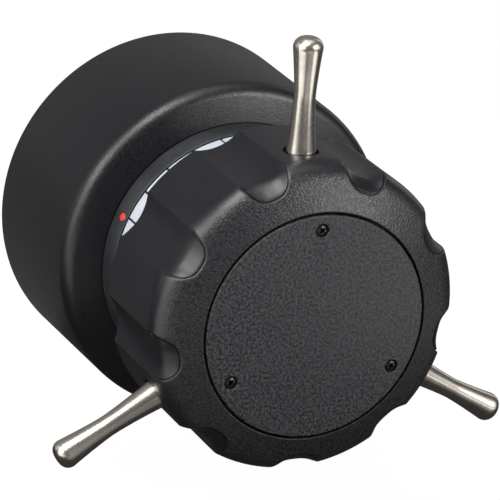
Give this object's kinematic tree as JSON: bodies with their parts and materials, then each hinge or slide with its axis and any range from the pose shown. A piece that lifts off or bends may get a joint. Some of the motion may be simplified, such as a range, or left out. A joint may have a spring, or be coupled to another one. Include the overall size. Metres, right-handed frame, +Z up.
{
  "type": "focus demand",
  "caption": "Rotary lens focus control: scalloped hand wheel with three waisted spokes and a white scale ring on a round drag and sensor housing.",
  "frame": {"origin": "centre of the mounting pad's flat face at the back, on the knob's axis", "axes": "+Y along the knob's axis, out of the mounting pad at the back, so the front plate faces -Y; +Z up, through the spoke at 12 o'clock; +X to the right seen from the front"},
  "size_m": [0.15, 0.13, 0.1419],
  "materials": {
    "housing_black": "fine matt grain",
    "knob_black": "satin sides, pebbled front face",
    "plate_black": "fine leather grain",
    "index_grey": "satin anodised",
    "scale_white": "matt, engraved marks filled black",
    "index_red": "satin",
    "spoke_nickel": "polished nickel, turned",
    "black_steel": "black oxide",
    "bare_steel": "machined",
    "bare_aluminium": "machined",
    "bush_bronze": "sintered bronze",
    "gear_brass": "machined",
    "drag_fibre": "pressed fibre",
    "board_green": "solder mask",
    "dark_plastic": "moulded"
  },
  "bodies": {
    "housing": {"back_cover": "housing_black", "bearing_housing": "bare_aluminium", "board_nut_1": "bare_steel", "board_nut_2": "bare_steel", "board_nut_3": "bare_steel", "board_post_1": "bare_steel", "board_post_2": "bare_steel", "board_post_3": "bare_steel", "chassis_plate": "bare_aluminium", "chassis_post_1": "bare_steel", "chassis_post_2": "bare_steel", "chassis_post_3": "bare_steel", "circuit_board": "board_green", "connector_socket": "bare_aluminium", "cover_screw_1": "black_steel", "cover_screw_2": "black_steel", "cover_screw_3": "black_steel", "cover_screw_4": "black_steel", "drag_pad": "drag_fibre", "front_bush": "bush_bronze", "housing_shell": "housing_black", "index_dot": "index_red", "index_ring": "index_grey", "processor_chip": "dark_plastic", "rear_bush": "bush_bronze", "sensor_body": "dark_plastic", "sensor_cable": "dark_plastic", "sensor_nut": "bare_steel", "socket_cable": "dark_plastic", "socket_nut": "bare_steel", "stop_block": "bare_steel", "tube_screw_1": "bare_steel", "tube_screw_2": "bare_steel", "tube_screw_3": "bare_steel"},
    "knob": {"knob_body": "knob_black", "front_plate": "plate_black", "plate_screw_1": "black_steel", "plate_screw_2": "black_steel", "plate_screw_3": "black_steel", "spoke_1": "spoke_nickel", "spoke_2": "spoke_nickel", "spoke_3": "spoke_nickel", "scale_ring": "scale_white", "knob_hub": "bare_aluminium", "hub_screw_1": "bare_steel", "hub_screw_2": "bare_steel", "hub_screw_3": "bare_steel", "shaft_screw": "bare_steel", "main_shaft": "bare_steel", "drag_spring": "bare_steel", "drag_disc": "bare_steel", "main_gear": "gear_brass", "gear_hub": "bare_steel", "gear_clamp_screw": "black_steel", "stop_pin": "bare_steel", "retaining_ring": "bare_steel"},
    "sensor_rotor": {"sensor_shaft": "bare_steel", "sensor_pinion": "gear_brass"}
  },
  "joints": [
    {"name": "knob_turn", "type": "hinge", "parent": "housing", "child": "knob", "pos_m": [0, 0, 0], "axis": [0, 1, 0], "range_deg": [-135, 135]},
    {"name": "sensor_turn", "type": "hinge", "parent": "housing", "child": "sensor_rotor", "pos_m": [0.0252, 0, 0], "axis": [0, 1, 0], "range_deg": [-406, 406]}
  ],
  "couplings": [
    {"joint": "sensor_turn", "follows": "knob_turn", "ratio": -3}
  ]
}
